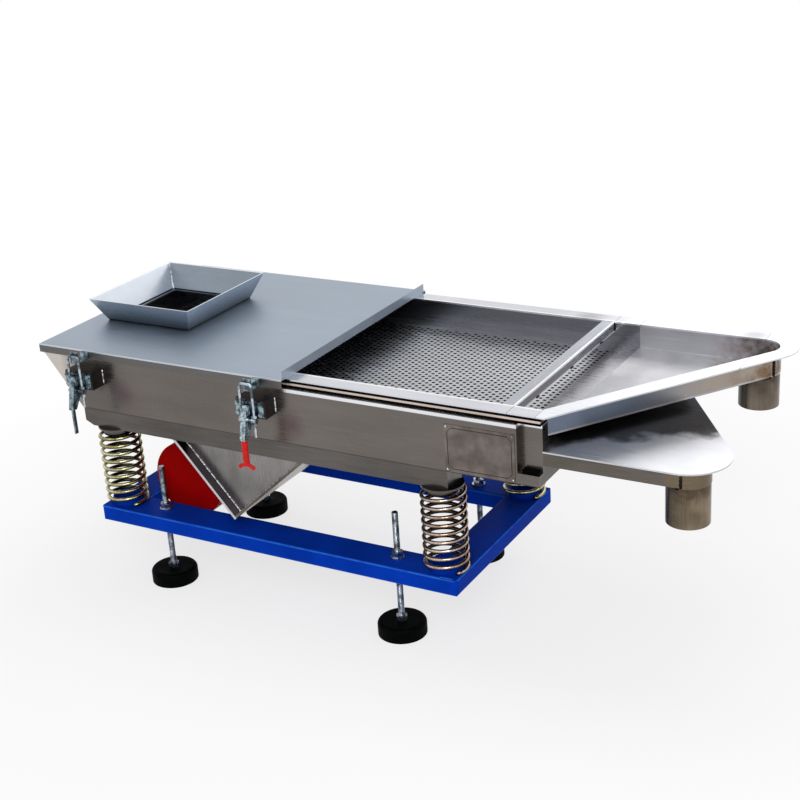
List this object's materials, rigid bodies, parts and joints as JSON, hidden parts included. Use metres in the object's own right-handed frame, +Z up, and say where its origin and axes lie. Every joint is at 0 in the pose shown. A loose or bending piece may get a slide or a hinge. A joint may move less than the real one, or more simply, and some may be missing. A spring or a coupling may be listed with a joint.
{
  "type": "vibrating sieve",
  "caption": "Linear vibrating sieve: spring-borne trough with a lift-out perforated tray, clamped lid with a feed hopper, offset discharge spouts and a vibration motor in a V mount.",
  "frame": {"origin": "on the floor, halfway along the machine and midway between its side walls", "axes": "+X from the feed end to the discharge end, along the machine; -Y is the front, where the blank nameplate is; +Z up"},
  "size_m": [1.493, 0.6575, 0.6365],
  "materials": {
    "blue_paint": "gloss",
    "zinc_steel": "zinc plated",
    "black_rubber": "matt",
    "spring_steel": "yellow zinc plated",
    "stainless": "brushed",
    "bright_steel": "bright",
    "motor_red": "gloss",
    "core_steel": "machined",
    "plate_metal": "anodised"
  },
  "bodies": {
    "base": {"base_front_rail": "blue_paint", "base_rear_rail": "blue_paint", "base_feed_rail": "blue_paint", "base_discharge_rail": "blue_paint", "lower_spring_seats": "blue_paint", "foot_lock_nuts": "zinc_steel", "spring_fl": "spring_steel", "spring_fr": "spring_steel", "spring_rl": "spring_steel", "spring_rr": "spring_steel"},
    "foot_fl": {"foot_stud_fl": "zinc_steel", "foot_pad_fl": "black_rubber"},
    "foot_fr": {"foot_stud_fr": "zinc_steel", "foot_pad_fr": "black_rubber"},
    "foot_rl": {"foot_stud_rl": "zinc_steel", "foot_pad_rl": "black_rubber"},
    "foot_rr": {"foot_stud_rr": "zinc_steel", "foot_pad_rr": "black_rubber"},
    "deck": {"trough_front_wall": "stainless", "trough_rear_wall": "stainless", "trough_floor": "stainless", "trough_end_plate": "stainless", "seal_gaskets": "black_rubber", "seal_strip": "stainless", "front_beam": "stainless", "rear_beam": "stainless", "upper_spring_seats": "stainless", "motor_plate": "stainless", "brace_plate": "stainless", "mount_gussets": "stainless", "lower_chute": "stainless", "lower_chute_cover": "stainless", "lower_spout": "stainless", "clamp_brackets": "stainless", "clamp_bases": "zinc_steel", "nameplate": "plate_metal", "motor_housing": "motor_red", "motor_stator": "core_steel", "motor_end_shields": "motor_red", "motor_end_caps": "motor_red", "terminal_box": "motor_red", "motor_bolts": "zinc_steel"},
    "rotor": {"rotor_shaft": "core_steel", "eccentric_weights": "core_steel"},
    "sieve": {"sieve_frame": "bright_steel", "sieve_plate": "stainless", "cross_bar": "stainless", "upper_chute": "bright_steel", "upper_spout": "stainless"},
    "lid": {"lid": "bright_steel", "hopper": "bright_steel", "keepers": "zinc_steel"},
    "lever_fl": {"clamp_lever_fl": "zinc_steel"},
    "hook_fl": {"clamp_hook_fl": "zinc_steel"},
    "lever_fr": {"clamp_lever_fr": "zinc_steel"},
    "hook_fr": {"clamp_hook_fr": "zinc_steel"}
  },
  "joints": [
    {"name": "foot_fl_screw", "type": "slide", "parent": "base", "child": "foot_fl", "axis": [0, 0, 1], "range_m": [-0.02, 0.02]},
    {"name": "foot_fr_screw", "type": "slide", "parent": "base", "child": "foot_fr", "axis": [0, 0, 1], "range_m": [-0.02, 0.02]},
    {"name": "foot_rl_screw", "type": "slide", "parent": "base", "child": "foot_rl", "axis": [0, 0, 1], "range_m": [-0.02, 0.02]},
    {"name": "foot_rr_screw", "type": "slide", "parent": "base", "child": "foot_rr", "axis": [0, 0, 1], "range_m": [-0.02, 0.02]},
    {"name": "deck_bounce", "type": "slide", "parent": "base", "child": "deck", "axis": [0, 0, 1], "range_m": [-0.006, 0.006], "stiffness_N_per_m": 60000, "springref_m": 0.02008, "deforming": ["spring_fl", "spring_fr", "spring_rl", "spring_rr"]},
    {"name": "rotor_spin", "type": "hinge", "parent": "deck", "child": "rotor", "pos_m": [-0.51055, 0, 0.2338], "axis": [0, 1, 0], "continuous": true},
    {"name": "sieve_lift", "type": "slide", "parent": "deck", "child": "sieve", "axis": [0, 0, 1], "range_m": [0, 0.15]},
    {"name": "lid_lift", "type": "slide", "parent": "sieve", "child": "lid", "axis": [0, 0, 1], "range_m": [0, 0.25]},
    {"name": "clamp_lever_fl_turn", "type": "hinge", "parent": "deck", "child": "lever_fl", "pos_m": [-0.6205, -0.339, 0.53], "axis": [-1, 0, 0], "range_deg": [0, 115]},
    {"name": "clamp_hook_fl_turn", "type": "hinge", "parent": "lever_fl", "child": "hook_fl", "pos_m": [-0.6205, -0.334, 0.505], "axis": [-1, 0, 0], "range_deg": [-138, 0]},
    {"name": "clamp_lever_fr_turn", "type": "hinge", "parent": "deck", "child": "lever_fr", "pos_m": [-0.1835, -0.339, 0.53], "axis": [-1, 0, 0], "range_deg": [0, 115]},
    {"name": "clamp_hook_fr_turn", "type": "hinge", "parent": "lever_fr", "child": "hook_fr", "pos_m": [-0.1835, -0.334, 0.505], "axis": [-1, 0, 0], "range_deg": [-138, 0]}
  ],
  "couplings": [
    {"joint": "clamp_hook_fl_turn", "follows": "clamp_lever_fl_turn", "ratio": -1.2},
    {"joint": "clamp_hook_fr_turn", "follows": "clamp_lever_fr_turn", "ratio": -1.2}
  ]
}
